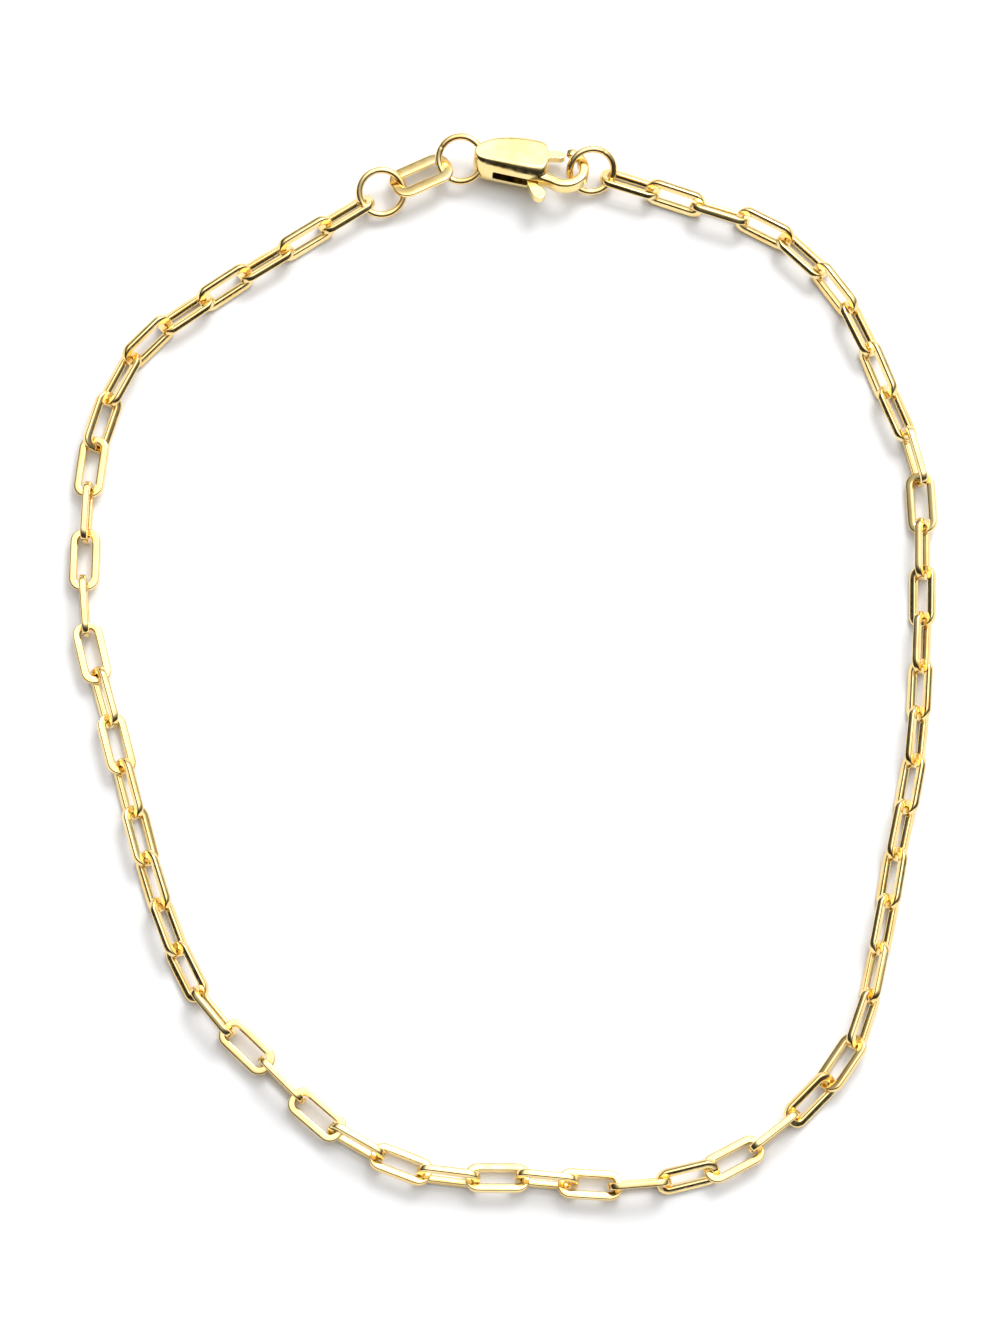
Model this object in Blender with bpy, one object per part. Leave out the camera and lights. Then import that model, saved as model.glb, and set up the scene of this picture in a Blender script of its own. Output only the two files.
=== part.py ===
# Paperclip chain bracelet with a lobster-claw clasp, lying fastened on a flat surface.
# Metres, +Z up. The origin is the middle of the loop's box, on the surface it lies on.
import math

import bmesh
import bpy
import numpy as np
from mathutils import Matrix, Vector

MM = 0.001

# One chain link: a long flat-wire loop with round corners.
LINK_LENGTH = 3.85 * MM
LINK_WIDTH = 2.05 * MM
LINK_RAIL = 0.54 * MM
LINK_THICKNESS = 0.45 * MM
LINK_CORNER = 0.82 * MM
LINK_CORNER_STEPS = 2
RAIL_FLAT_SHARE = 0.7

# How the links hang together. The end bars of neighbours press into each other by the bite,
# and the two halves of the chain hook together with a small gap.
JOINT_BITE = 0.165 * MM
HOOK_GAP = 0.18 * MM

# The connector is a wider link between the two jump rings of the clasp's tail.
CONNECTOR_LENGTH = 4.0 * MM
CONNECTOR_WIDTH = 2.4 * MM
CONNECTOR_RAIL = 0.5 * MM
CONNECTOR_THICKNESS = 0.34 * MM
CONNECTOR_CORNER = 0.95 * MM

# Jump rings, bent from round wire.
RING_DIAMETER = 3.2 * MM
RING_WIRE = 0.36 * MM
RING_STEPS = 16
WIRE_SIDES = 6

# The clasp lies on its side: u runs from its tail to its hook, v towards its gate, n up through it.
CLASP_LENGTH = 7.25 * MM
BODY_LENGTH = 4.75 * MM
BODY_HALF_WIDTH = 1.7 * MM
BODY_THICKNESS = 2.0 * MM
BODY_TOP_SLOPE = 0.9 * MM
BODY_TOP_INSET = 0.2 * MM
EDGE_BEVEL = 0.12 * MM
HOOK_RAIL = 0.62 * MM
HOOK_THICKNESS = 0.9 * MM
HOOK_BORE = 1.8 * MM
HOOK_STEPS = 9
HOOK_START_ANGLE = -125.0
HOOK_NOSE_ANGLE = 88.0
SLOT_START = 1.3 * MM
LEVER_THICKNESS = 0.6 * MM
LEVER_SIDE_GAP = 0.08 * MM
LEVER_LEVEL = -0.2 * MM
GATE_GAP = 0.08 * MM
GATE_DEPTH = 0.58 * MM
PIVOT_ALONG = 2.9 * MM
PIVOT_ACROSS = 0.25 * MM
PIN_DIAMETER = 0.5 * MM
PIN_GAP = 0.05 * MM
PIN_STEPS = 12
BOSS_RADIUS = 0.55 * MM
TAB_REACH = 2.85 * MM
TAIL_WALL = 0.42 * MM

# Where the clasp lies in the loop, and how it and its rings lean (degrees).
CLASP_TAIL = (-1.67 * MM, 31.86 * MM)
CLASP_HEADING = -4.9
CLASP_LEAN = 20.0
RING_GAP = 0.05 * MM

# Each ring: heading of the line through its middle, climb of that line, and roll about it.
TAIL_RING_SET = (-3.8, 3.9, 19.4)
CHAIN_RING_SET = (8.4, -1.4, 23.0)
EYE_RING_SET = (3.2, -7.0, 30.3)
CONNECTOR_SET = (26.1, -3.8, -25.6)

# Where on each ring its neighbours hang, as an angle round the ring from its own +X side (degrees).
TAIL_RING_CONNECTOR_ANGLE = 204.2
CHAIN_RING_CONNECTOR_ANGLE = 14.2
CHAIN_RING_LINK_ANGLE = 203.9
EYE_RING_LINK_ANGLE = -20.6
CONNECTOR_SHIFT = 0.0 * MM
EYE_ALONG = 6.0 * MM
EYE_ACROSS = -0.3 * MM

# The loop's route, chosen by hand: points that the middle of the chain passes (mm),
# from the chain ring down the left side, along the front and up the right side to the eye ring.
CHAIN_ROUTE = [
    (-13.0, 26.3), (-17.8, 23.2), (-22.3, 19.6), (-24.7, 14.3), (-25.3, 8.5),
    (-25.2, 2.5), (-23.7, -3.3), (-22.1, -9.2), (-20.4, -14.9), (-17.9, -20.4),
    (-13.7, -24.8), (-9.5, -28.6), (-4.2, -31.0), (1.5, -31.3), (7.2, -31.7),
    (12.8, -30.7), (17.6, -27.5), (21.2, -23.1), (22.8, -17.4), (23.9, -11.7),
    (25.1, -5.8), (25.6, 0.2), (25.8, 6.2), (25.6, 12.1), (23.6, 17.6),
    (21.2, 22.9), (17.2, 27.1), (11.8, 29.2),
]

# How far each link is rolled about its own length as it lies, in degrees, for pairs of links
# spread evenly along the route: (first link, second link). Positive lifts its left side.
LINK_ROLLS = [
    (-72, 35), (-72, 35), (-70, 37), (-58, 50), (-12, 85), (0, -88),
    (8, -57), (28, -60), (35, -45), (50, -37), (78, -18), (72, 0),
    (75, 0), (70, 0), (72, -5), (102, -38), (37, -83), (42, -45),
    (60, -72), (53, -55), (55, -55), (60, -53), (66, -46), (72, -44),
    (76, -50), (56, -60), (40, -64), (45, -85), (41, -75),
]
ROUTE_STEPS = 40

GOLD_COLOUR = (0.94, 0.76, 0.36, 1.0)
GOLD_ROUGHNESS = 0.16
SMOOTH_ANGLE = 35.0

# The clasp's outlines, as shares: along the clasp's body or its length, and across its half width.
BODY_OUTLINE = [
    (0.0, -0.10), (0.02, -0.28), (0.075, -0.46), (0.27, -0.57), (0.55, -0.70), (0.78, -0.80),
    (0.91, -0.81), (0.97, -0.70), (1.0, -0.30), (0.99, 0.18), (0.97, 0.65),
    (0.91, 0.85), (0.78, 0.94), (0.49, 1.0), (0.22, 0.83), (0.075, 0.48),
    (0.02, 0.28), (0.0, 0.10),
]


def clear_scene():
    for obj in list(bpy.data.objects):
        bpy.data.objects.remove(obj, do_unlink=True)


def gold(name):
    material = bpy.data.materials.new(name)
    material.use_nodes = True
    shader = material.node_tree.nodes["Principled BSDF"]
    shader.inputs["Base Color"].default_value = GOLD_COLOUR
    shader.inputs["Metallic"].default_value = 1.0
    shader.inputs["Roughness"].default_value = GOLD_ROUGHNESS
    return material


def mesh_of(name, solids):
    """One mesh that holds each of the solids, given as (points, faces), with its faces outward."""
    work = bmesh.new()
    for points, faces in solids:
        corners = [work.verts.new(point) for point in points]
        for face in faces:
            work.faces.new([corners[index] for index in face])
    bmesh.ops.recalc_face_normals(work, faces=work.faces)
    mesh = bpy.data.meshes.new(name)
    work.to_mesh(mesh)
    work.free()
    mesh.shade_smooth()
    mesh.set_sharp_from_angle(angle=math.radians(SMOOTH_ANGLE))
    return mesh


def add_piece(name, solids, parent, place=None):
    piece = bpy.data.objects.new(name, mesh_of(name, solids))
    piece.data.materials.append(gold(name + "_gold"))
    bpy.context.scene.collection.objects.link(piece)
    piece.parent = parent
    if place is not None:
        piece.matrix_local = place
    return piece


def add_helper(name, solids, parent, place=None):
    helper = add_piece(name, solids, parent, place)
    helper.hide_render = True
    helper.display_type = "WIRE"
    return helper


def add_frame(name, parent, place):
    frame = bpy.data.objects.new(name, None)
    bpy.context.scene.collection.objects.link(frame)
    frame.parent = parent
    frame.matrix_local = place
    return frame


def combine(piece, helper, operation):
    modifier = piece.modifiers.new(helper.name, "BOOLEAN")
    modifier.operation = operation
    modifier.object = helper
    modifier.solver = "EXACT"


def moved(solid, place):
    points, faces = solid
    return [place @ Vector(point) for point in points], faces


def lying(heading, climb, roll):
    """A rotation: the piece's own X along the heading and climbing, then rolled about itself."""
    turn = Matrix.Rotation(math.radians(heading), 4, "Z")
    tip = Matrix.Rotation(math.radians(-climb), 4, "Y")
    return turn @ tip @ Matrix.Rotation(math.radians(roll), 4, "X")


def swept(path, outward, section, closed):
    """A band along a flat path. The section holds (outward, up) offsets for each path point."""
    sides = len(section[0])
    points = []
    for centre, away, ring in zip(path, outward, section):
        for out, up in ring:
            points.append((centre[0] + away[0] * out, centre[1] + away[1] * out, up))
    count = len(path)
    faces = []
    for step in range(count if closed else count - 1):
        following = (step + 1) % count
        for side in range(sides):
            beside = (side + 1) % sides
            faces.append((step * sides + side, step * sides + beside,
                          following * sides + beside, following * sides + side))
    if not closed:
        faces.append(tuple(range(sides)))
        faces.append(tuple(range((count - 1) * sides, count * sides)))
    return points, faces


def flat_section(width, thickness):
    """A flat wire's six corners: two edges at mid thickness, and a flat above and below."""
    edge, flat, half = width / 2, width / 2 * RAIL_FLAT_SHARE, thickness / 2
    return [(edge, 0), (flat, half), (-flat, half), (-edge, 0), (-flat, -half), (flat, -half)]


def round_section(diameter, sides):
    turns = [2 * math.pi * side / sides for side in range(sides)]
    return [(diameter / 2 * math.cos(turn), diameter / 2 * math.sin(turn)) for turn in turns]


def flat_link(length, width, rail, thickness, corner):
    """A long link of flat wire: straight rails and end bars joined by round corners."""
    bend = corner - rail / 2
    across = (width - rail) / 2 - bend
    along = (length - rail) / 2 - bend
    path, outward = [], []
    for quarter, (side_x, side_y) in enumerate([(1, 1), (-1, 1), (-1, -1), (1, -1)]):
        for step in range(LINK_CORNER_STEPS + 1):
            turn = math.pi / 2 * (quarter + step / LINK_CORNER_STEPS)
            away = (math.cos(turn), math.sin(turn))
            path.append((side_x * along + bend * away[0], side_y * across + bend * away[1]))
            outward.append(away)
    section = [flat_section(rail, thickness)] * len(path)
    return swept(path, outward, section, closed=True)


def wire_ring(diameter, wire):
    turns = [2 * math.pi * step / RING_STEPS for step in range(RING_STEPS)]
    outward = [(math.cos(turn), math.sin(turn)) for turn in turns]
    radius = (diameter - wire) / 2
    path = [(radius * x, radius * y) for x, y in outward]
    return swept(path, outward, [round_section(wire, WIRE_SIDES)] * RING_STEPS, closed=True)


def inset(outline, distance):
    """The outline, anticlockwise, with each corner moved inward by the distance."""
    rows = np.array(outline)
    edges = np.roll(rows, -1, axis=0) - rows
    away = np.stack([edges[:, 1], -edges[:, 0]], axis=1)
    away /= np.linalg.norm(away, axis=1)[:, None]
    before = np.roll(away, 1, axis=0)
    mitre = (away + before) / (1 + (away * before).sum(axis=1))[:, None]
    return rows - distance * mitre


def plate(outline, levels):
    """A solid stacked from the outline at each (height, inset), lowest first."""
    count = len(outline)
    points, faces = [], []
    for height, distance in levels:
        points += [(x, y, height) for x, y in inset(outline, distance)]
    for level in range(len(levels) - 1):
        for corner in range(count):
            beside = (corner + 1) % count
            low, high = level * count, (level + 1) * count
            faces.append((low + corner, low + beside, high + beside, high + corner))
    faces.append(tuple(range(count)))
    faces.append(tuple(range(count * (len(levels) - 1), count * len(levels))))
    return points, faces


def rod(centre, diameter, low, high, steps):
    turns = [2 * math.pi * step / steps for step in range(steps)]
    outline = [(centre[0] + diameter / 2 * math.cos(turn), centre[1] + diameter / 2 * math.sin(turn))
               for turn in turns]
    return plate(outline, [(low, 0), (high, 0)])


def half_height(roll):
    """How far a link reaches above and below its middle when rolled."""
    rise, level = abs(math.sin(roll)), abs(math.cos(roll))
    middle = (LINK_WIDTH - LINK_RAIL) / 2
    corners = flat_section(LINK_RAIL, LINK_THICKNESS)
    return max((middle + out) * rise + abs(up) * level for out, up in corners)


def link_lift(roll):
    """A link rests on the surface, or on the lower rails of its neighbours when it lies flat."""
    return max(half_height(roll), LINK_RAIL + LINK_THICKNESS / 2)


def spline(rows):
    """A smooth curve through the rows, as close points."""
    padded = [2 * rows[0] - rows[1]] + rows + [2 * rows[-1] - rows[-2]]
    curve = []
    for before, start, end, after in zip(padded, padded[1:], padded[2:], padded[3:]):
        for step in range(ROUTE_STEPS):
            t = step / ROUTE_STEPS
            curve.append(0.5 * (2 * start + (end - before) * t
                                + (2 * before - 5 * start + 4 * end - after) * t ** 2
                                + (3 * start - before - 3 * end + after) * t ** 3))
    return np.array(curve + [rows[-1]])


def chain_places(first, last):
    """The place of each link along the route, in order, and how many belong to the first half."""
    rows = [np.array(first)] + [np.array(row) * MM for row in CHAIN_ROUTE] + [np.array(last)]
    curve = spline(rows)
    along = np.concatenate([[0], np.cumsum(np.linalg.norm(np.diff(curve, axis=0), axis=1))])
    taut = LINK_LENGTH - 2 * LINK_RAIL
    count = round(along[-1] / (taut + JOINT_BITE))
    left = count // 2
    pitch = along[-1] / count
    step = (along[-1] - pitch - (taut - HOOK_GAP)) / (count - 2)
    places = []
    for index in range(count):
        at = pitch / 2 + index * step
        if index >= left:
            at = along[-1] - pitch / 2 - (count - 1 - index) * step
        ends = [[np.interp(at + side * pitch / 2, along, curve[:, axis]) for axis in (0, 1)]
                for side in (-1, 1)]
        heading = math.atan2(ends[1][1] - ends[0][1], ends[1][0] - ends[0][0])
        pair = min(int(index / count * len(LINK_ROLLS)), len(LINK_ROLLS) - 1)
        roll = math.radians(LINK_ROLLS[pair][index % 2])
        middle = [np.interp(at, along, curve[:, axis]) for axis in (0, 1)]
        spot = Matrix.Translation((middle[0], middle[1], link_lift(roll)))
        places.append(spot @ lying(math.degrees(heading), 0, math.degrees(roll)))
    return places, left


def add_chain_half(name, places, parent):
    """Every other link, joined by a union to a helper that holds the links between them."""
    link = flat_link(LINK_LENGTH, LINK_WIDTH, LINK_RAIL, LINK_THICKNESS, LINK_CORNER)
    half = add_piece(name, [moved(link, place) for place in places[::2]], parent)
    between = add_helper(name + "_between", [moved(link, place) for place in places[1::2]], parent)
    combine(half, between, "UNION")
    return half


def ring_spot(place, angle):
    """The middle of a ring's wire at the angle round it."""
    radius = (RING_DIAMETER - RING_WIRE) / 2
    turn = math.radians(angle)
    return place @ Vector((radius * math.cos(turn), radius * math.sin(turn), 0))


def ring_through(spot, angle, setting):
    """The place of a ring whose wire passes the spot at the angle round it."""
    turned = lying(*setting)
    return Matrix.Translation(spot - ring_spot(turned, angle)) @ turned


def slot_reach(length, rail):
    """From a link's middle to a ring's wire that hangs in the end of its slot."""
    return length / 2 - rail - RING_WIRE / 2 - RING_GAP


def body_levels():
    half = BODY_THICKNESS / 2
    return [(-half, EDGE_BEVEL), (-half + EDGE_BEVEL, 0), (half - BODY_TOP_SLOPE, 0),
            (half - EDGE_BEVEL, BODY_TOP_INSET), (half, BODY_TOP_INSET + EDGE_BEVEL)]


def body_outline():
    return [(along * BODY_LENGTH, across * BODY_HALF_WIDTH) for along, across in BODY_OUTLINE]


def hook_band():
    """The hook: from inside the body's lower corner, round the eye, to the nose that meets the gate."""
    radius = (HOOK_BORE + HOOK_RAIL) / 2
    centre = (CLASP_LENGTH - HOOK_RAIL / 2 - radius, -BODY_HALF_WIDTH / 6)
    path, outward = [], []
    for step in range(HOOK_STEPS + 1):
        share = step / HOOK_STEPS
        turn = math.radians(HOOK_START_ANGLE + share * (HOOK_NOSE_ANGLE - HOOK_START_ANGLE))
        outward.append((math.cos(turn), math.sin(turn)))
        path.append((centre[0] + radius * math.cos(turn), centre[1] + radius * math.sin(turn)))
    root = (BODY_LENGTH - 0.8 * radius, path[0][1] + 0.3 * radius)
    path.insert(0, root)
    lean = math.atan2(path[1][1] - root[1], path[1][0] - root[0]) - math.pi / 2
    outward.insert(0, (math.cos(lean), math.sin(lean)))
    return swept(path, outward, [flat_section(HOOK_RAIL, HOOK_THICKNESS)] * len(path), closed=False)


def nose_tip():
    """The middle of the hook's free end."""
    radius = (HOOK_BORE + HOOK_RAIL) / 2
    centre = (CLASP_LENGTH - HOOK_RAIL / 2 - radius, -BODY_HALF_WIDTH / 6)
    turn = math.radians(HOOK_NOSE_ANGLE)
    return centre[0] + radius * math.cos(turn), centre[1] + radius * math.sin(turn)


def slot_cutter():
    """The lever's slot: open at the eye and along the lower side, closed towards the tail and above."""
    half = LEVER_THICKNESS / 2 + LEVER_SIDE_GAP
    past = BODY_LENGTH + BODY_HALF_WIDTH
    floor_side, wall = -1.5 * BODY_HALF_WIDTH, 0.45 * MM
    root = BODY_LENGTH - 0.65 * MM
    outline = [
        (SLOT_START, floor_side), (root, floor_side), (root, -0.52 * BODY_HALF_WIDTH),
        (root + 0.25 * MM, -0.27 * BODY_HALF_WIDTH), (past, -0.27 * BODY_HALF_WIDTH),
        (past, BODY_HALF_WIDTH), (BODY_LENGTH - 0.4 * MM, BODY_HALF_WIDTH),
        (BODY_LENGTH - 1.0 * MM, BODY_HALF_WIDTH - wall), (SLOT_START, BODY_HALF_WIDTH - wall - 0.2 * MM),
    ]
    return plate(outline, [(LEVER_LEVEL - half, 0), (LEVER_LEVEL + half, 0)])


def lever_outline():
    """Gate arm, boss round the pin and thumb tab, about the pin's middle."""
    tip_x = nose_tip()[0] - GATE_GAP - PIVOT_ALONG
    tip_y = nose_tip()[1] - PIVOT_ACROSS
    low, high = tip_y - GATE_DEPTH / 2, tip_y + GATE_DEPTH / 2
    neck = -0.45 * TAB_REACH
    return [
        (tip_x, low), (tip_x, high), (0.6 * tip_x, high), (0.25 * tip_x, 0.9 * BOSS_RADIUS + 0.1 * high),
        (0, BOSS_RADIUS), (-0.7 * BOSS_RADIUS, 0.7 * BOSS_RADIUS), (-BOSS_RADIUS, 0),
        (-0.7 * BOSS_RADIUS, -0.7 * BOSS_RADIUS), (0.1 * BOSS_RADIUS, -1.3 * BOSS_RADIUS),
        (0.45 * MM, neck), (0.6 * MM, 0.62 * -TAB_REACH), (0.95 * MM, 0.88 * -TAB_REACH),
        (1.15 * MM, 0.97 * -TAB_REACH), (1.4 * MM, -TAB_REACH), (1.68 * MM, 0.95 * -TAB_REACH),
        (1.8 * MM, 0.84 * -TAB_REACH), (1.72 * MM, 0.74 * -TAB_REACH), (1.12 * MM, 0.59 * -TAB_REACH),
        (1.0 * MM, neck), (0.9 * MM, -0.9 * BOSS_RADIUS), (1.0 * MM, 0.1 * BOSS_RADIUS),
        (0.6 * tip_x, low),
    ]


def clasp_lift():
    """How high the clasp's middle line lies, so that its lowest edge is on the surface."""
    lean = math.radians(CLASP_LEAN)
    lowest = min(math.cos(lean) * height - math.sin(lean) * across
                 for height, distance in body_levels()
                 for along, across in inset(body_outline(), distance))
    return -lowest


def add_clasp(parent):
    spot = Matrix.Translation((CLASP_TAIL[0], CLASP_TAIL[1], clasp_lift()))
    place = spot @ lying(CLASP_HEADING, 0, -CLASP_LEAN)
    frame = add_frame("clasp_frame", parent, place)
    body = add_piece("clasp_body", [plate(body_outline(), body_levels())], frame)
    combine(body, add_helper("hook_band", [hook_band()], frame), "UNION")
    combine(body, add_helper("lever_slot", [slot_cutter()], frame), "DIFFERENCE")
    half = BODY_THICKNESS / 2 - EDGE_BEVEL
    pivot = (PIVOT_ALONG, PIVOT_ACROSS)
    pin = rod(pivot, PIN_DIAMETER, -half, half, PIN_STEPS)
    combine(body, add_helper("lever_pin", [pin], frame), "UNION")
    thick = LEVER_THICKNESS / 2
    lever = add_piece("clasp_lever", [plate(lever_outline(), [(-thick, 0), (thick, 0)])], frame,
                      Matrix.Translation((PIVOT_ALONG, PIVOT_ACROSS, LEVER_LEVEL)))
    bore = rod(pivot, PIN_DIAMETER + 2 * PIN_GAP, -BODY_THICKNESS, BODY_THICKNESS, PIN_STEPS)
    combine(lever, add_helper("lever_bore", [bore], frame), "DIFFERENCE")
    return body, place


def hung_places(clasp):
    """The places of the tail ring, connector, chain ring and eye ring, each hung in its neighbour."""
    hole = clasp @ Vector((TAIL_WALL + RING_GAP + RING_WIRE / 2, 0, 0))
    tail_ring = ring_through(hole, 0, TAIL_RING_SET)
    reach = slot_reach(CONNECTOR_LENGTH, CONNECTOR_RAIL)
    turned = lying(*CONNECTOR_SET)
    spot = ring_spot(tail_ring, TAIL_RING_CONNECTOR_ANGLE)
    connector = Matrix.Translation(spot - turned @ Vector((reach, CONNECTOR_SHIFT, 0))) @ turned
    slot_end = connector @ Vector((-reach, -CONNECTOR_SHIFT, 0))
    chain_ring = ring_through(slot_end, CHAIN_RING_CONNECTOR_ANGLE, CHAIN_RING_SET)
    eye = clasp @ Vector((EYE_ALONG, EYE_ACROSS, 0))
    return tail_ring, connector, chain_ring, ring_through(eye, 180, EYE_RING_SET)


def add_rings(parent, body, clasp):
    """The three jump rings and the connector. Returns where the chain's ends hang."""
    tail_ring, connector, chain_ring, eye_ring = hung_places(clasp)
    ring = wire_ring(RING_DIAMETER, RING_WIRE)
    add_piece("tail_ring", [ring], parent, tail_ring)
    add_piece("chain_ring", [ring], parent, chain_ring)
    add_piece("eye_ring", [ring], parent, eye_ring)
    link = flat_link(CONNECTOR_LENGTH, CONNECTOR_WIDTH, CONNECTOR_RAIL,
                     CONNECTOR_THICKNESS, CONNECTOR_CORNER)
    add_piece("connector_link", [link], parent, connector)
    bored = wire_ring(RING_DIAMETER + 2 * RING_GAP, RING_WIRE + 2 * RING_GAP)
    combine(body, add_helper("tail_tunnel", [bored], parent, tail_ring), "DIFFERENCE")
    return chain_ends(chain_ring, eye_ring)


def chain_ends(chain_ring, eye_ring):
    first = chain_end(ring_spot(chain_ring, CHAIN_RING_LINK_ANGLE), CHAIN_ROUTE[0])
    last = chain_end(ring_spot(eye_ring, EYE_RING_LINK_ANGLE), CHAIN_ROUTE[-1])
    return first, last


def chain_end(spot, beyond):
    """The route's end, so that its first link's slot holds the ring's wire at the spot."""
    start = np.array(spot[:2])
    heading = np.array(beyond) * MM - start
    heading /= np.linalg.norm(heading)
    half_pitch = (LINK_LENGTH - 2 * LINK_RAIL + JOINT_BITE) / 2
    return start + heading * (slot_reach(LINK_LENGTH, LINK_RAIL) - half_pitch)


def centre_on_origin(bracelet):
    """Moves the whole loop so that the origin is the middle of its box, on the surface."""
    bpy.context.view_layer.update()
    corners = np.array([piece.matrix_world @ vertex.co
                        for piece in bpy.data.objects if piece.type == "MESH" and not piece.hide_render
                        or piece.name.endswith("_between") or piece.name == "hook_band"
                        for vertex in piece.data.vertices])
    low, high = corners.min(axis=0), corners.max(axis=0)
    bracelet.location = (-(low[0] + high[0]) / 2, -(low[1] + high[1]) / 2, -low[2])


def main():
    clear_scene()
    bracelet = add_frame("bracelet_frame", None, Matrix.Identity(4))
    body, clasp = add_clasp(bracelet)
    first, last = add_rings(bracelet, body, clasp)
    places, left = chain_places(first, last)
    add_chain_half("chain_left_half", places[:left], bracelet)
    add_chain_half("chain_right_half", places[left:], bracelet)
    centre_on_origin(bracelet)


main()
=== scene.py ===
import math
import random

import bmesh
import bpy
import numpy as np
from mathutils import Matrix, Vector


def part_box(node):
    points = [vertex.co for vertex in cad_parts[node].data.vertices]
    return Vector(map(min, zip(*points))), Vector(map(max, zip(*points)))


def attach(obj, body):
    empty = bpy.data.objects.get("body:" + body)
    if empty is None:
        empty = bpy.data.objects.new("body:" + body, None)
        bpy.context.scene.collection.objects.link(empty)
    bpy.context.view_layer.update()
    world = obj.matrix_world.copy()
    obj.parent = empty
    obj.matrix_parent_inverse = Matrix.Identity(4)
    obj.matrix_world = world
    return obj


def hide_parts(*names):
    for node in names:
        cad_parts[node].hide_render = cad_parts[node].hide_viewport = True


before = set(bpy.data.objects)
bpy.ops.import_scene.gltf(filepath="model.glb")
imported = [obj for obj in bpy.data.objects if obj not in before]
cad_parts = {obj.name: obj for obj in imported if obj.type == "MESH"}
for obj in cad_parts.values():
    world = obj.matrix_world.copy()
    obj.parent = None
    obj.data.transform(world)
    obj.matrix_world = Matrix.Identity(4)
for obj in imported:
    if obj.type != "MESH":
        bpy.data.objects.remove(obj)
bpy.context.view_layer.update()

# The bracelet is laid out in millimetres, and placeMesh() turns it into metres.
loopLayout = {
    "unit": 0.001,
    "shift": (-0.145, -0.325),       # from the layout to the middle of the loop's box
    "clasp tail": (-1.67, 31.86),
    "clasp height": 1.4797,
    "clasp heading": -4.9,
    "clasp lean": 20.0,
}
print("frame loaded:", len(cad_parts), "nodes")


def lying(heading, climb, roll):
    # a piece's own X along the heading and climbing, then rolled about itself
    turn = Matrix.Rotation(math.radians(heading), 4, "Z")
    tip = Matrix.Rotation(math.radians(-climb), 4, "Y")
    return turn @ tip @ Matrix.Rotation(math.radians(roll), 4, "X")


def moved(solid, place):
    points, faces = solid
    return [place @ Vector(point) for point in points], faces


def joined(solids):
    points, faces = [], []
    for somePoints, someFaces in solids:
        start = len(points)
        points += somePoints
        faces += [tuple(start + corner for corner in face) for face in someFaces]
    return points, faces


def meshOf(name, solid):
    work = bmesh.new()
    corners = [work.verts.new(point) for point in solid[0]]
    for face in solid[1]:
        work.faces.new([corners[index] for index in face])
    bmesh.ops.recalc_face_normals(work, faces=work.faces)
    mesh = bpy.data.meshes.new(name)
    work.to_mesh(mesh)
    work.free()
    return mesh


def superSection(count, squareness):
    # a soft-cornered square, from -1 to 1 both ways
    section = []
    for step in range(count):
        turn = 2 * math.pi * (step + 0.5) / count
        c, s = math.cos(turn), math.sin(turn)
        section.append((math.copysign(abs(c) ** (2 / squareness), c),
                        math.copysign(abs(s) ** (2 / squareness), s)))
    return section


def swept(stations, section, closed):
    # each station is (middle, half width as a vector, half height as a vector)
    sides = len(section)
    points, faces = [], []
    for middle, half, rise in stations:
        points += [middle + half * x + rise * y for x, y in section]
    count = len(stations)
    for step in range(count if closed else count - 1):
        following = (step + 1) % count
        for side in range(sides):
            beside = (side + 1) % sides
            faces.append((step * sides + side, step * sides + beside,
                          following * sides + beside, following * sides + side))
    if not closed:
        faces.append(tuple(range(sides)))
        faces.append(tuple(range((count - 1) * sides, count * sides)))
    return points, faces


def shownPiece(name, mesh, body, nodes, materials, angle=40):
    mesh.name = name
    for polygon in mesh.polygons:
        polygon.use_smooth = True
    mesh.set_sharp_from_angle(angle=math.radians(angle))
    piece = bpy.data.objects.new(name, mesh)
    bpy.context.scene.collection.objects.link(piece)
    for material in materials:
        mesh.materials.append(material)
    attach(piece, body)
    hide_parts(*nodes)
    print(name, "has", sum(len(polygon.vertices) - 2 for polygon in mesh.polygons), "triangles")
    return piece


def placeMesh(mesh, place):
    # from a piece's own millimetres to its place in the frame, in metres
    shift = Matrix.Translation((loopLayout["shift"][0], loopLayout["shift"][1], 0))
    mesh.transform(Matrix.Scale(loopLayout["unit"], 4) @ shift @ place)


# Polished gold. Colours are what the metal reflects, and the ripple depth is in millimetres.
goldFinishes = {
    "chainGold": {"bright": (0.96, 0.76, 0.37), "deep": (0.93, 0.66, 0.26), "roughness": (0.10, 0.24),
                  "ripple": 0.35, "ripple depth": 0.010, "scratches": 0.12},
    "ringGold": {"bright": (0.96, 0.74, 0.36), "deep": (0.92, 0.63, 0.25), "roughness": (0.08, 0.20),
                 "ripple": 0.5, "ripple depth": 0.006, "scratches": 0.10},
    "claspGold": {"bright": (0.95, 0.76, 0.36), "deep": (0.92, 0.69, 0.27), "roughness": (0.10, 0.26),
                  "ripple": 0.9, "ripple depth": 0.014, "scratches": 0.16},
}


# what all three finishes share: each noise is (features to a millimetre, detail)
polishLook = {
    "cloud": (0.55, 3),
    "cloud tones": (0.35, 0.6),      # noise values of the deep and the bright colour
    "rub": (2.2, 5),
    "rub span": (0.35, 0.7),         # noise values of the smoothest and the dullest metal
    "ripple detail": 2,
    "hairlines": (9, 4),
    "hairline turn": (0.2, 0.4, 0.9),
    "hairline stretch": (0.25, 3.0, 1.0),
    "hairline depth": 0.000004,      # metres
}


def noiseFrom(tree, place, scale, detail):
    noise = tree.nodes.new("ShaderNodeTexNoise")
    noise.inputs["Scale"].default_value = scale
    noise.inputs["Detail"].default_value = detail
    tree.links.new(place, noise.inputs["Vector"])
    return noise.outputs["Fac"]


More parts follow.
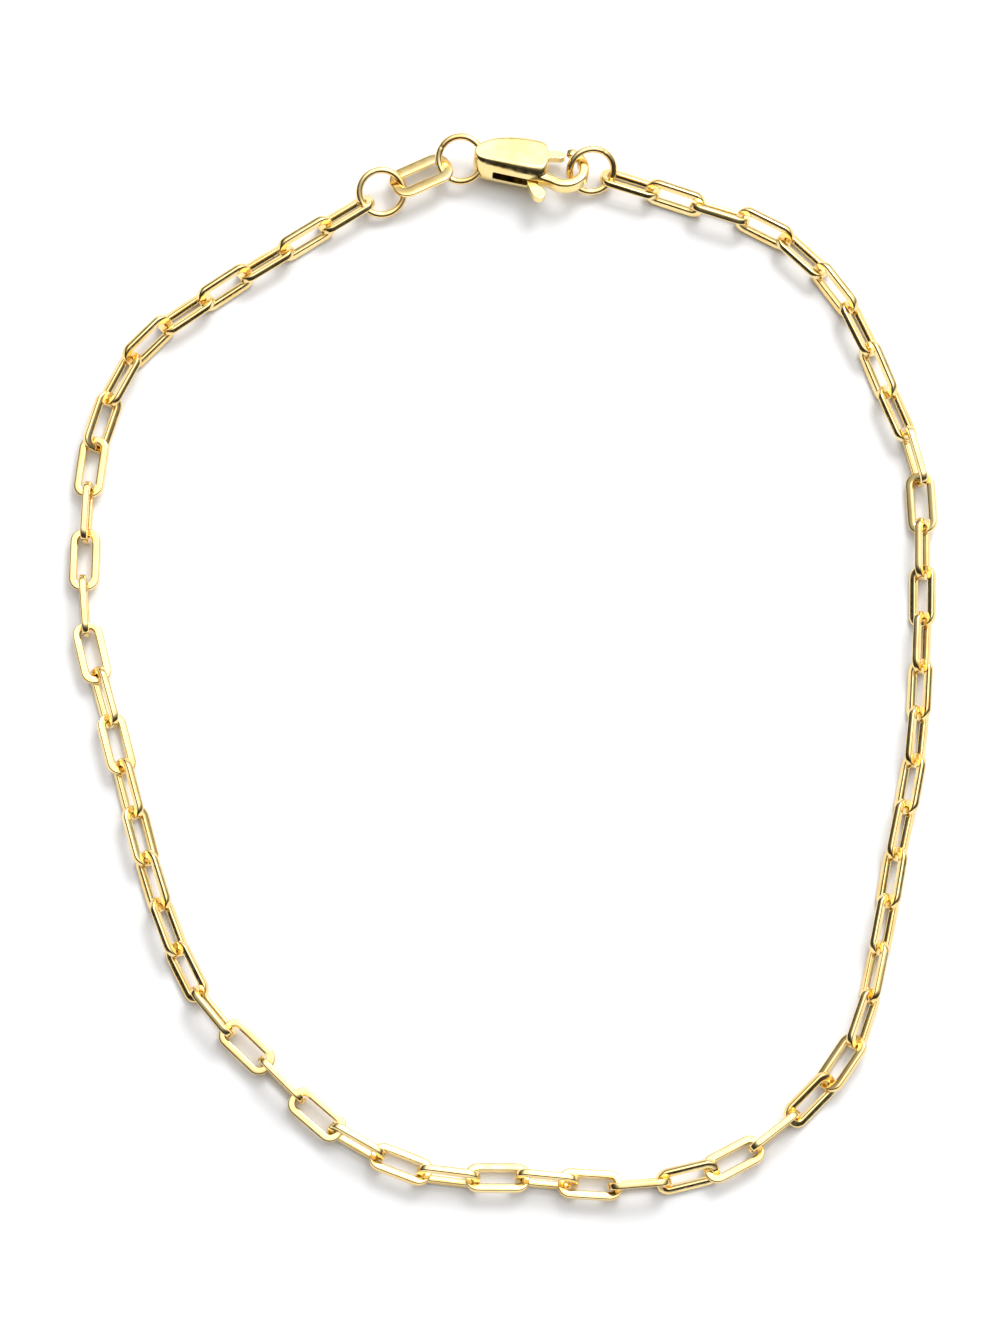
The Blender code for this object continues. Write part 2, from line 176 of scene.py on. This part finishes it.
def goldMaterial(name, finish):
    material = bpy.data.materials.new(name)
    material.use_nodes = True
    tree = material.node_tree
    nodes, links = tree.nodes, tree.links
    shader = nodes["Principled BSDF"]
    shader.inputs["Metallic"].default_value = 1.0
    coordinates = nodes.new("ShaderNodeTexCoord")
    inMillimetres = nodes.new("ShaderNodeMapping")
    inMillimetres.inputs["Scale"].default_value = (1000, 1000, 1000)
    links.new(coordinates.outputs["Object"], inMillimetres.inputs["Vector"])
    place = inMillimetres.outputs["Vector"]
    # cloudy change of tone from the alloy and the polish
    tone = nodes.new("ShaderNodeValToRGB")
    for stop, shade, position in zip(tone.color_ramp.elements, ("deep", "bright"),
                                     polishLook["cloud tones"]):
        stop.position = position
        stop.color = (*finish[shade], 1)
    links.new(noiseFrom(tree, place, *polishLook["cloud"]), tone.inputs["Fac"])
    links.new(tone.outputs["Color"], shader.inputs["Base Color"])
    # fingerprints and rubbed places are a little duller
    dullness = nodes.new("ShaderNodeMapRange")
    for side, value in zip(("From Min", "From Max"), polishLook["rub span"]):
        dullness.inputs[side].default_value = value
    for side, value in zip(("To Min", "To Max"), finish["roughness"]):
        dullness.inputs[side].default_value = value
    links.new(noiseFrom(tree, place, *polishLook["rub"]), dullness.inputs["Value"])
    links.new(dullness.outputs["Result"], shader.inputs["Roughness"])
    # slow ripples left by polishing, then hairline scratches
    ripple = noiseFrom(tree, place, finish["ripple"] * 2, polishLook["ripple detail"])
    rippleBump = nodes.new("ShaderNodeBump")
    rippleBump.inputs["Strength"].default_value = 1.0
    rippleBump.inputs["Distance"].default_value = finish["ripple depth"] * 0.001
    links.new(ripple, rippleBump.inputs["Height"])
    stretch = nodes.new("ShaderNodeMapping")
    stretch.inputs["Rotation"].default_value = polishLook["hairline turn"]
    stretch.inputs["Scale"].default_value = polishLook["hairline stretch"]
    links.new(place, stretch.inputs["Vector"])
    hairBump = nodes.new("ShaderNodeBump")
    hairBump.inputs["Strength"].default_value = finish["scratches"]
    hairBump.inputs["Distance"].default_value = polishLook["hairline depth"]
    hairlines = noiseFrom(tree, stretch.outputs["Vector"], *polishLook["hairlines"])
    links.new(hairlines, hairBump.inputs["Height"])
    links.new(rippleBump.outputs["Normal"], hairBump.inputs["Normal"])
    links.new(hairBump.outputs["Normal"], shader.inputs["Normal"])
    return material


golds = {name: goldMaterial(name, finish) for name, finish in goldFinishes.items()}


# Jump rings of round wire: heading, climb and roll of each, as it hangs.
ringLook = {
    "diameter": 3.2,
    "wire": 0.43,
    "steps": 120,
    "sides": 24,
    "tail_ring": (-3.8, 3.9, 19.4),
    "chain_ring": (8.4, -1.4, 23.0),
    "eye_ring": (3.2, -7.0, 36.0),
    "solder dip": 0.02,              # how much thinner the wire is where the ring was closed
    "dip width": 3.0,                # degrees round the ring
    "closed at": {"tail_ring": 150, "chain_ring": 100, "eye_ring": 60},
}


def nodeMiddle(node):
    # the middle of a CAD node's box, in the layout's millimetres
    low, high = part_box(node)
    shift = Vector((loopLayout["shift"][0], loopLayout["shift"][1], 0))
    return (low + high) / 2 / loopLayout["unit"] - shift


def ringStations(radius, wire, closedAt):
    stations = []
    for step in range(ringLook["steps"]):
        turn = 2 * math.pi * step / ringLook["steps"]
        away = Vector((math.cos(turn), math.sin(turn), 0))
        apart = math.degrees(turn) - closedAt
        apart = abs((apart + 180) % 360 - 180)
        thin = 1 - ringLook["solder dip"] / wire * 2 * math.exp(-(apart / ringLook["dip width"]) ** 2)
        stations.append((away * radius, away * (wire / 2 * thin), Vector((0, 0, wire / 2 * thin))))
    return stations


ringPlaces = {}
for name in ("tail_ring", "chain_ring", "eye_ring"):
    radius = (ringLook["diameter"] - ringLook["wire"]) / 2
    stations = ringStations(radius, ringLook["wire"], ringLook["closed at"][name])
    ringMesh = meshOf(name, swept(stations, superSection(ringLook["sides"], 2), closed=True))
    ringPlaces[name] = Matrix.Translation(nodeMiddle(name)) @ lying(*ringLook[name])
    placeMesh(ringMesh, ringPlaces[name])
    shownPiece(name + "_wire", ringMesh, "bracelet", [name], [golds["ringGold"]])
print("jump rings made")


# One flat-wire link: rails are the long sides, bars are the ends that hook together.
linkLook = {
    "length": 3.85,
    "width": 1.85,
    "rail": 0.5,
    "bar": 0.44,
    "thickness": 0.43,
    "corner": 0.76,
    "slot corner": 0.34,
    "corner steps": 12,
    "rail steps": 8,
    "bar steps": 3,
    "sides": 24,
    "squareness": 4.2,
}
connectorLook = dict(linkLook)
connectorLook.update({
    "length": 4.0, "width": 2.46, "rail": 0.78, "bar": 0.5, "thickness": 0.3, "corner": 1.0,
    "slot corner": 0.42, "corner steps": 18, "rail steps": 12, "bar steps": 5,
    "lies": (26.1, -3.8, -25.6),     # heading, climb and roll
})


def linkStations(look, bow=0.0, warp=0.0):
    # stations round the band, each from the slot's edge to the outer edge
    halfLength, halfWidth = look["length"] / 2, look["width"] / 2
    outerCentre = (halfLength - look["corner"], halfWidth - look["corner"])
    innerCentre = (halfLength - look["bar"] - look["slot corner"],
                   halfWidth - look["rail"] - look["slot corner"])
    pairs = []
    signs = [(1, 1), (-1, 1), (-1, -1), (1, -1)]
    for quarter, (signX, signY) in enumerate(signs):
        corner = []
        for step in range(look["corner steps"] + 1):
            turn = math.pi / 2 * (quarter + step / look["corner steps"])
            away = Vector((math.cos(turn), math.sin(turn), 0))
            outer = Vector((signX * outerCentre[0], signY * outerCentre[1], 0))
            inner = Vector((signX * innerCentre[0], signY * innerCentre[1], 0))
            outer += away * look["corner"]
            inner += away * look["slot corner"]
            corner.append((inner, outer))
        pairs.append(corner)
    stations = []
    for quarter in range(4):
        corner, following = pairs[quarter], pairs[(quarter + 1) % 4]
        stations += corner
        between = look["rail steps"] if quarter % 2 == 0 else look["bar steps"]
        for step in range(1, between):
            share = step / between
            stations.append(tuple(a.lerp(b, share) for a, b in zip(corner[-1], following[0])))
    rise = look["thickness"] / 2
    made = []
    for inner, outer in stations:
        middle = (inner + outer) / 2
        along = middle.x / halfLength
        middle.y += math.copysign(bow * (1 - along ** 2), middle.y)
        middle.z += warp * along * middle.y / halfWidth
        made.append((middle, (outer - inner) / 2, Vector((0, 0, rise))))
    return made


def linkSolid(look, bow=0.0, warp=0.0):
    section = superSection(look["sides"], look["squareness"])
    return swept(linkStations(look, bow, warp), section, closed=True)


connectorPlace = Matrix.Translation(nodeMiddle("connector_link")) @ lying(*connectorLook["lies"])
connectorMesh = meshOf("connector", linkSolid(connectorLook))
placeMesh(connectorMesh, connectorPlace)
shownPiece("connector_band", connectorMesh, "bracelet", ["connector_link"],
           [golds["chainGold"]])
print("connector made")


# The chain follows a route of listed points, link after link at an even pitch.
chainLook = {
    "route": [
        (-13.0, 26.3), (-17.8, 23.2), (-22.3, 19.6), (-24.7, 14.3), (-25.3, 8.5), (-25.2, 2.5),
        (-23.7, -3.3), (-22.1, -9.2), (-20.4, -14.9), (-17.9, -20.4), (-13.7, -24.8), (-9.5, -28.6),
        (-4.2, -31.0), (1.5, -31.3), (7.2, -31.7), (12.8, -30.7), (17.6, -27.5), (21.2, -23.1),
        (22.8, -17.4), (23.9, -11.7), (25.1, -5.8), (25.6, 0.2), (25.8, 6.2), (25.6, 12.1),
        (23.6, 17.6), (21.2, 22.9), (17.2, 27.1), (11.8, 29.2),
    ],
    # each link's roll about its own length, two links at a time
    "rolls": [
        (50, -60), (48, -54), (43, -53), (47, -42), (10, -84), (5, 90), (-8, 62), (-25, 55),
        (-40, 47), (-50, 42), (-73, 8), (90, 5), (72, -24), (69, -22), (72, -15), (-80, 48),
        (-14, 88), (42, -32), (57, -62), (52, -50), (55, -50), (55, -50), (60, -42), (66, -24),
        (-78, 44), (-55, 50), (-60, 42), (-55, 60), (-57, 45),
    ],
    "route steps": 40,
    "frame rail": 0.54,              # the CAD link's rail, for its pitch
    "bite": 0.165,
    "hook gap": 0.18,
    "ring wire": 0.36,               # the CAD ring's wire, for where the chain's ends hang
    "ring gap": 0.05,
    "first ring angle": 203.9,
    "last ring angle": -20.6,
    "unevenness": 0.012,             # how far a rail bows or a link warps
    "seed": 7,
}


def splineThrough(rows):
    padded = [2 * rows[0] - rows[1]] + rows + [2 * rows[-1] - rows[-2]]
    curve = []
    for before, start, end, after in zip(padded, padded[1:], padded[2:], padded[3:]):
        for step in range(chainLook["route steps"]):
            t = step / chainLook["route steps"]
            curve.append(0.5 * (2 * start + (end - before) * t
                                + (2 * before - 5 * start + 4 * end - after) * t ** 2
                                + (3 * start - before - 3 * end + after) * t ** 3))
    return np.array(curve + [rows[-1]])


def linkHeight(roll):
    # a link rests on the surface, or on its neighbours' lower rails when it lies flat
    rail, thickness = linkLook["rail"], linkLook["thickness"]
    rise, level = abs(math.sin(roll)), abs(math.cos(roll))
    power = linkLook["squareness"] / (linkLook["squareness"] - 1)
    section = ((rail / 2 * rise) ** power + (thickness / 2 * level) ** power) ** (1 / power)
    tall = (linkLook["width"] - rail) / 2 * rise + section + 2 * chainLook["unevenness"]
    return max(tall, rail + thickness / 2)


def chainEnd(ring, angle, beyond):
    radius = (ringLook["diameter"] - chainLook["ring wire"]) / 2
    turn = math.radians(angle)
    spot = ringPlaces[ring] @ Vector((radius * math.cos(turn), radius * math.sin(turn), 0))
    start = np.array(spot[:2])
    heading = np.array(beyond) - start
    heading /= np.linalg.norm(heading)
    halfPitch = (linkLook["length"] - 2 * chainLook["frame rail"] + chainLook["bite"]) / 2
    reach = (linkLook["length"] / 2 - chainLook["frame rail"] - chainLook["ring wire"] / 2
             - chainLook["ring gap"])
    return start + heading * (reach - halfPitch)


def linkPlaces():
    first = chainEnd("chain_ring", chainLook["first ring angle"], chainLook["route"][0])
    last = chainEnd("eye_ring", chainLook["last ring angle"], chainLook["route"][-1])
    curve = splineThrough([first] + [np.array(row) for row in chainLook["route"]] + [last])
    along = np.concatenate([[0], np.cumsum(np.linalg.norm(np.diff(curve, axis=0), axis=1))])
    taut = linkLook["length"] - 2 * chainLook["frame rail"]
    count = round(along[-1] / (taut + chainLook["bite"]))
    left = count // 2
    pitch = along[-1] / count
    step = (along[-1] - pitch - (taut - chainLook["hook gap"])) / (count - 2)
    places = []
    for index in range(count):
        at = pitch / 2 + index * step
        if index >= left:
            at = along[-1] - pitch / 2 - (count - 1 - index) * step
        ends = [[np.interp(at + side * pitch / 2, along, curve[:, axis]) for axis in (0, 1)]
                for side in (-1, 1)]
        heading = math.atan2(ends[1][1] - ends[0][1], ends[1][0] - ends[0][0])
        rolls = chainLook["rolls"]
        pair = min(int(index / count * len(rolls)), len(rolls) - 1)
        roll = math.radians(rolls[pair][index % 2])
        middle = [np.interp(at, along, curve[:, axis]) for axis in (0, 1)]
        spot = Matrix.Translation((middle[0], middle[1], linkHeight(roll)))
        places.append(spot @ lying(math.degrees(heading), 0, math.degrees(roll)))
    return places, left


def chainHalf(name, node, places, dice):
    solids = []
    for place in places:
        uneven = chainLook["unevenness"]
        solid = linkSolid(linkLook, dice.uniform(-uneven, uneven), dice.uniform(-uneven, uneven))
        solids.append(moved(solid, place))
    mesh = meshOf(name, joined(solids))
    placeMesh(mesh, Matrix.Identity(4))
    shownPiece(name, mesh, "bracelet", [node], [golds["chainGold"]])


places, leftCount = linkPlaces()
dice = random.Random(chainLook["seed"])
chainHalf("left_links", "chain_left_half", places[:leftCount], dice)
chainHalf("right_links", "chain_right_half", places[leftCount:], dice)
print("chain made:", len(places), "links")


# The clasp lies along X from its tail to its hook, with its gate towards +Y and its face up.
claspLook = {
    "length": 7.25,
    "body": 4.75,
    "half width": 1.7,
    "thickness": 2.0,
    "outline": [
        (0.0, -0.10), (0.02, -0.28), (0.075, -0.46), (0.27, -0.57), (0.55, -0.70), (0.78, -0.80),
        (0.91, -0.81), (0.97, -0.70), (1.0, -0.30), (0.99, 0.18), (0.97, 0.65),
        (0.91, 0.85), (0.78, 0.94), (0.49, 1.0), (0.22, 0.83), (0.075, 0.48),
        (0.02, 0.28), (0.0, 0.10),
    ],
    "shoulder": 1.25,                # how far down the rounding of the upper edges starts
    "shoulder in": 0.38,             # and how much it narrows the face, as a share
    "end in": 0.05,
    "shoulder steps": 12,
    "lower edge": 0.6,
    "lower in": 0.18,
    "lower end": 0.4,                # how much of that the two ends narrow by
    "lower steps": 6,
    "outline rounds": 3,
    "hook drop": 6,                  # the hook's middle is the half width over this lower
    "hook rail": 0.64,
    "hook thickness": 0.9,
    "bore": 1.8,
    "hook start": -125.0,
    "hook nose": 88.0,
    "hook steps": 60,
    "hook sides": 28,
    "hook squareness": 4.0,
    "hook root": (0.8, 0.3),         # back from the body's end and up, in hook radii
    "root shares": (0, 0.33, 0.66),
    "hook tip": 0.72,                # how thick the nose is at its very end, as a share
    "hook taper": 0.062,
    "slot start": 1.3,
    "slot root": 0.65,
    "slot gap": 0.08,
    "wall": 0.45,
    "pivot": (2.9, 0.25),
    "pin": 0.5,
    "pin reach": 0.9,
    "rod sides": 48,
    "tunnel": 0.49,
    "tunnel steps": 64,
    "tunnel sides": 20,
    "voxel": 0.038,
    "smoothing": 8,
    "soften": 0.5,
    "smooth up to": 60,              # degrees between faces
}
leverLook = {
    "thickness": 0.48,
    "level": -0.28,
    "gate gap": 0.08,
    "gate depth": 0.58,
    "boss": 0.55,
    "reach": 2.85,
    "bore": 0.6,
    "bore reach": 1,
    "outline rounds": 2,
    # the thumb tab's outline: x, then how far down as a share of the reach
    "tab": [
        (0.6, -0.62), (0.95, -0.88), (1.15, -0.97), (1.4, -1.0),
        (1.68, -0.95), (1.8, -0.84), (1.72, -0.74), (1.12, -0.59),
    ],
    "neck": -0.45,                   # where the arm meets the tab, as the same share
    "voxel": 0.026,
    "smoothing": 6,
    "soften": 0.5,
}
claspMiddle = Vector((*loopLayout["clasp tail"], loopLayout["clasp height"]))
claspTurn = lying(loopLayout["clasp heading"], 0, -loopLayout["clasp lean"])
claspPlace = Matrix.Translation(claspMiddle) @ claspTurn


def rounded(outline, times):
    # cuts the corners of a closed outline again and again
    for _ in range(times):
        following = outline[1:] + outline[:1]
        cut = []
        for (ax, ay), (bx, by) in zip(outline, following):
            cut.append((ax * 0.75 + bx * 0.25, ay * 0.75 + by * 0.25))
            cut.append((ax * 0.25 + bx * 0.75, ay * 0.25 + by * 0.75))
        outline = cut
    return outline


def stacked(outline, levels):
    # each level is (height, share of the length, share of the width)
    middle = sum(x for x, _ in outline) / len(outline)
    count = len(outline)
    points, faces = [], []
    for height, lengthShare, widthShare in levels:
        points += [Vector((middle + (x - middle) * lengthShare, y * widthShare, height))
                   for x, y in outline]
    for level in range(len(levels) - 1):
        low, high = level * count, (level + 1) * count
        for corner in range(count):
            beside = (corner + 1) % count
            faces.append((low + corner, low + beside, high + beside, high + corner))
    faces.append(tuple(range(count)))
    faces.append(tuple(range(count * (len(levels) - 1), count * len(levels))))
    return points, faces


def bodyShell():
    half = claspLook["thickness"] / 2
    corners = [(x * claspLook["body"], y * claspLook["half width"]) for x, y in claspLook["outline"]]
    outline = rounded(corners, claspLook["outline rounds"])
    levels = []
    for step in range(claspLook["lower steps"] + 1):
        turn = math.pi / 2 * step / claspLook["lower steps"]
        share = 1 - claspLook["lower in"] * (1 - math.sin(turn))
        levels.append((-half + claspLook["lower edge"] * (1 - math.cos(turn)),
                       1 - (1 - share) * claspLook["lower end"], share))
    for step in range(claspLook["shoulder steps"] + 1):
        turn = math.pi / 2 * step / claspLook["shoulder steps"]
        narrow = 1 - math.cos(turn)
        levels.append((half - claspLook["shoulder"] * (1 - math.sin(turn)),
                       1 - claspLook["end in"] * narrow, 1 - claspLook["shoulder in"] * narrow))
    return stacked(outline, levels)


def hookCentre():
    radius = (claspLook["bore"] + claspLook["hook rail"]) / 2
    return radius, Vector((claspLook["length"] - claspLook["hook rail"] / 2 - radius,
                           -claspLook["half width"] / claspLook["hook drop"], 0))


def hookBand():
    radius, centre = hookCentre()
    steps = claspLook["hook steps"]
    middles = []
    for step in range(steps + 1):
        turn = math.radians(claspLook["hook start"]
                            + step / steps * (claspLook["hook nose"] - claspLook["hook start"]))
        middles.append(centre + radius * Vector((math.cos(turn), math.sin(turn), 0)))
    back, up = claspLook["hook root"]
    root = Vector((claspLook["body"] - back * radius, middles[0].y + up * radius, 0))
    middles = [root.lerp(middles[0], share) for share in claspLook["root shares"]] + middles
    stations = []
    for index, middle in enumerate(middles):
        ahead = middles[min(index + 1, len(middles) - 1)] - middles[max(index - 1, 0)]
        away = Vector((ahead.y, -ahead.x, 0)).normalized()
        left = (len(middles) - 1 - index) * radius * claspLook["hook taper"]
        tip = min(1.0, claspLook["hook tip"] + left)
        stations.append((middle, away * claspLook["hook rail"] / 2 * tip,
                         Vector((0, 0, claspLook["hook thickness"] / 2 * tip))))
    section = superSection(claspLook["hook sides"], claspLook["hook squareness"])
    return swept(stations, section, closed=False)


def prism(outline, low, high):
    count = len(outline)
    points = [Vector((x, y, height)) for height in (low, high) for x, y in outline]
    faces = [(step, (step + 1) % count, count + (step + 1) % count, count + step) for step in range(count)]
    faces += [tuple(range(count)), tuple(range(count, 2 * count))]
    return points, faces


def rod(centre, diameter, low, high):
    sides = claspLook["rod sides"]
    outline = [(centre[0] + diameter / 2 * math.cos(2 * math.pi * step / sides),
                centre[1] + diameter / 2 * math.sin(2 * math.pi * step / sides)) for step in range(sides)]
    return prism(outline, low, high)


def leverSlot():
    half = leverLook["thickness"] / 2 + claspLook["slot gap"]
    body, wide = claspLook["body"], claspLook["half width"]
    past = body + wide
    # below the middle, y is a share of the half width, and all else is in millimetres
    root = body - claspLook["slot root"]
    outline = [
        (claspLook["slot start"], -1.5 * wide), (root, -1.5 * wide), (root, -0.52 * wide),
        (root + 0.25, -0.27 * wide), (past, -0.27 * wide), (past, wide), (body - 0.4, wide),
        (body - 1.0, wide - claspLook["wall"]), (claspLook["slot start"], wide - claspLook["wall"] - 0.2),
    ]
    return prism(outline, leverLook["level"] - half, leverLook["level"] + half)


def workObject(name, solid):
    obj = bpy.data.objects.new(name, meshOf(name, solid))
    bpy.context.scene.collection.objects.link(obj)
    return obj


def combine(obj, helper, operation):
    modifier = obj.modifiers.new(helper.name, "BOOLEAN")
    modifier.operation = operation
    modifier.object = helper
    modifier.solver = "EXACT"


def castMesh(obj, helpers, look):
    # one soft-edged skin over the combined shape, as a polished casting has
    remesh = obj.modifiers.new("skin", "REMESH")
    remesh.mode = "VOXEL"
    remesh.voxel_size = look["voxel"]
    soften = obj.modifiers.new("soften", "SMOOTH")
    soften.factor = look["soften"]
    soften.iterations = look["smoothing"]
    graph = bpy.context.evaluated_depsgraph_get()
    mesh = bpy.data.meshes.new_from_object(obj.evaluated_get(graph))
    for extra in [obj] + helpers:
        bpy.data.objects.remove(extra, do_unlink=True)
    return mesh


def tailTunnel():
    radius = (ringLook["diameter"] - ringLook["wire"]) / 2
    stations = []
    for step in range(claspLook["tunnel steps"]):
        turn = 2 * math.pi * step / claspLook["tunnel steps"]
        away = Vector((math.cos(turn), math.sin(turn), 0))
        stations.append((away * radius, away * claspLook["tunnel"] / 2,
                         Vector((0, 0, claspLook["tunnel"] / 2))))
    tunnel = swept(stations, superSection(claspLook["tunnel sides"], 2), closed=True)
    return moved(tunnel, claspPlace.inverted() @ ringPlaces["tail_ring"])


claspBody = workObject("clasp_shell", bodyShell())
claspHelpers = [workObject("hook", hookBand()), workObject("slot", leverSlot()),
                workObject("tunnel", tailTunnel()),
                workObject("pin", rod(claspLook["pivot"], claspLook["pin"],
                                      -claspLook["pin reach"], claspLook["pin reach"]))]
for helper, operation in zip(claspHelpers, ("UNION", "DIFFERENCE", "DIFFERENCE", "UNION")):
    combine(claspBody, helper, operation)
claspMesh = castMesh(claspBody, claspHelpers, claspLook)
placeMesh(claspMesh, claspPlace)
shownPiece("clasp_casting", claspMesh, "bracelet", ["clasp_body"],
           [golds["claspGold"]], claspLook["smooth up to"])
print("clasp made")


def leverOutline():
    radius, centre = hookCentre()
    turn = math.radians(claspLook["hook nose"])
    nose = centre + radius * Vector((math.cos(turn), math.sin(turn), 0))
    tipX = nose.x - leverLook["gate gap"] - claspLook["pivot"][0]
    tipY = nose.y - claspLook["pivot"][1]
    low, high = tipY - leverLook["gate depth"] / 2, tipY + leverLook["gate depth"] / 2
    boss, reach = leverLook["boss"], leverLook["reach"]
    neck = leverLook["neck"] * reach
    # the gate, round the boss, down the arm, round the tab and back up
    return [
        (tipX, low), (tipX, high), (0.6 * tipX, high), (0.25 * tipX, 0.9 * boss + 0.1 * high),
        (0, boss), (-0.7 * boss, 0.7 * boss), (-boss, 0),
        (-0.7 * boss, -0.7 * boss), (0.1 * boss, -1.3 * boss),
        (0.45, neck), *[(x, share * reach) for x, share in leverLook["tab"]],
        (1.0, neck), (0.9, -0.9 * boss), (1.0, 0.1 * boss), (0.6 * tipX, low),
    ]


leverHalf = leverLook["thickness"] / 2
leverBody = workObject("lever_blank", prism(rounded(leverOutline(), leverLook["outline rounds"]),
                                             -leverHalf, leverHalf))
leverBore = workObject("bore", rod((0, 0), leverLook["bore"],
                                   -leverLook["bore reach"], leverLook["bore reach"]))
combine(leverBody, leverBore, "DIFFERENCE")
leverMesh = castMesh(leverBody, [leverBore], leverLook)
placeMesh(leverMesh, claspPlace @ Matrix.Translation((*claspLook["pivot"], leverLook["level"])))
shownPiece("clasp_thumb_lever", leverMesh, "lever", ["clasp_lever"],
           [golds["claspGold"]], claspLook["smooth up to"])
print("lever made")


# Pale table, soft daylight from above and behind, and darker walls low down for contrast.
# The sizes here are in metres.
studioLook = {
    "table": (0.86, 0.86, 0.87),
    "table size": 1.2,
    "table roughness": 0.9,
    "table grain": (40, 0.995),      # the grain's scale, and its darker tone as a share
    "brightest towards": (0.22, 0.42, 0.88),
    # how bright the daylight is, from straight away from that side (-1) to straight towards it (1)
    "daylight": [(-1.0, 0.02), (0.0, 0.04), (0.35, 0.12), (0.62, 0.7), (0.8, 2.2), (1.0, 2.8)],
    "daylight strength": 0.8,
    "softbox power": 1.0,
    "softbox size": 0.16,
    "softbox from": (0.12, 0.28, 0.34),
}


def tableTop():
    mesh = meshOf("table_top", ([Vector((x, y, 0)) for x, y in ((-1, -1), (1, -1), (1, 1), (-1, 1))],
                                [(0, 1, 2, 3)]))
    mesh.transform(Matrix.Scale(studioLook["table size"], 4))
    table = bpy.data.objects.new("table_top", mesh)
    bpy.context.scene.collection.objects.link(table)
    material = bpy.data.materials.new("paleTable")
    material.use_nodes = True
    nodes, links = material.node_tree.nodes, material.node_tree.links
    shader = nodes["Principled BSDF"]
    shader.inputs["Roughness"].default_value = studioLook["table roughness"]
    shader.inputs["Specular IOR Level"].default_value = 0.0
    grain = nodes.new("ShaderNodeTexNoise")
    grain.inputs["Scale"].default_value, darker = studioLook["table grain"]
    tone = nodes.new("ShaderNodeValToRGB")
    tone.color_ramp.elements[0].color = (*(value * darker for value in studioLook["table"]), 1)
    tone.color_ramp.elements[1].color = (*studioLook["table"], 1)
    links.new(grain.outputs["Fac"], tone.inputs["Fac"])
    links.new(tone.outputs["Color"], shader.inputs["Base Color"])
    mesh.materials.append(material)


def studioSky():
    world = bpy.data.worlds.new("studio")
    world.use_nodes = True
    bpy.context.scene.world = world
    nodes, links = world.node_tree.nodes, world.node_tree.links
    background = nodes["Background"]
    coordinates = nodes.new("ShaderNodeTexCoord")
    towards = nodes.new("ShaderNodeVectorMath")
    towards.operation = "DOT_PRODUCT"
    towards.inputs[1].default_value = Vector(studioLook["brightest towards"]).normalized()
    links.new(coordinates.outputs["Generated"], towards.inputs[0])
    share = nodes.new("ShaderNodeMapRange")
    share.inputs["From Min"].default_value = -1
    links.new(towards.outputs["Value"], share.inputs["Value"])
    ramp = nodes.new("ShaderNodeValToRGB")
    stops = ramp.color_ramp.elements
    while len(stops) < len(studioLook["daylight"]):
        stops.new(0.5)
    brightest = max(value for _, value in studioLook["daylight"])
    for stop, (position, value) in zip(stops, studioLook["daylight"]):
        stop.position = (position + 1) / 2
        stop.color = (value / brightest, value / brightest, value / brightest, 1)
    links.new(share.outputs["Result"], ramp.inputs["Fac"])
    links.new(ramp.outputs["Color"], background.inputs["Color"])
    background.inputs["Strength"].default_value = studioLook["daylight strength"] * brightest


def softbox():
    light = bpy.data.lights.new("softbox", "AREA")
    light.shape = "SQUARE"
    light.size = studioLook["softbox size"]
    light.energy = studioLook["softbox power"]
    lamp = bpy.data.objects.new("softbox", light)
    bpy.context.scene.collection.objects.link(lamp)
    lamp.location = studioLook["softbox from"]
    lamp.rotation_euler = (-lamp.location).to_track_quat("-Z", "Y").to_euler()


tableTop()
studioSky()
softbox()
bpy.context.scene.view_settings.view_transform = "Standard"
print("studio made")


# The camera looks down at the loop from just in front of it.
cameraLook = {
    "distance": 300,
    "elevation": 78,
    "focal pixels": 4920,
    "photo height": 1333,
    "sensor": 36,
    "clip": (0.01, 10),              # metres
}


def photoCamera():
    data = bpy.data.cameras.new("photo_camera")
    data.sensor_width = cameraLook["sensor"]
    data.lens = cameraLook["focal pixels"] / cameraLook["photo height"] * cameraLook["sensor"]
    data.clip_start, data.clip_end = cameraLook["clip"]
    camera = bpy.data.objects.new("photo_camera", data)
    bpy.context.scene.collection.objects.link(camera)
    rise = math.radians(cameraLook["elevation"])
    back = Vector((0, -math.cos(rise), math.sin(rise)))
    aim = Vector((*loopLayout["shift"], 0)) * loopLayout["unit"]
    camera.location = aim + back * cameraLook["distance"] * loopLayout["unit"]
    camera.rotation_euler = back.to_track_quat("Z", "Y").to_euler()
    bpy.context.scene.camera = camera


photoCamera()
print("camera set")
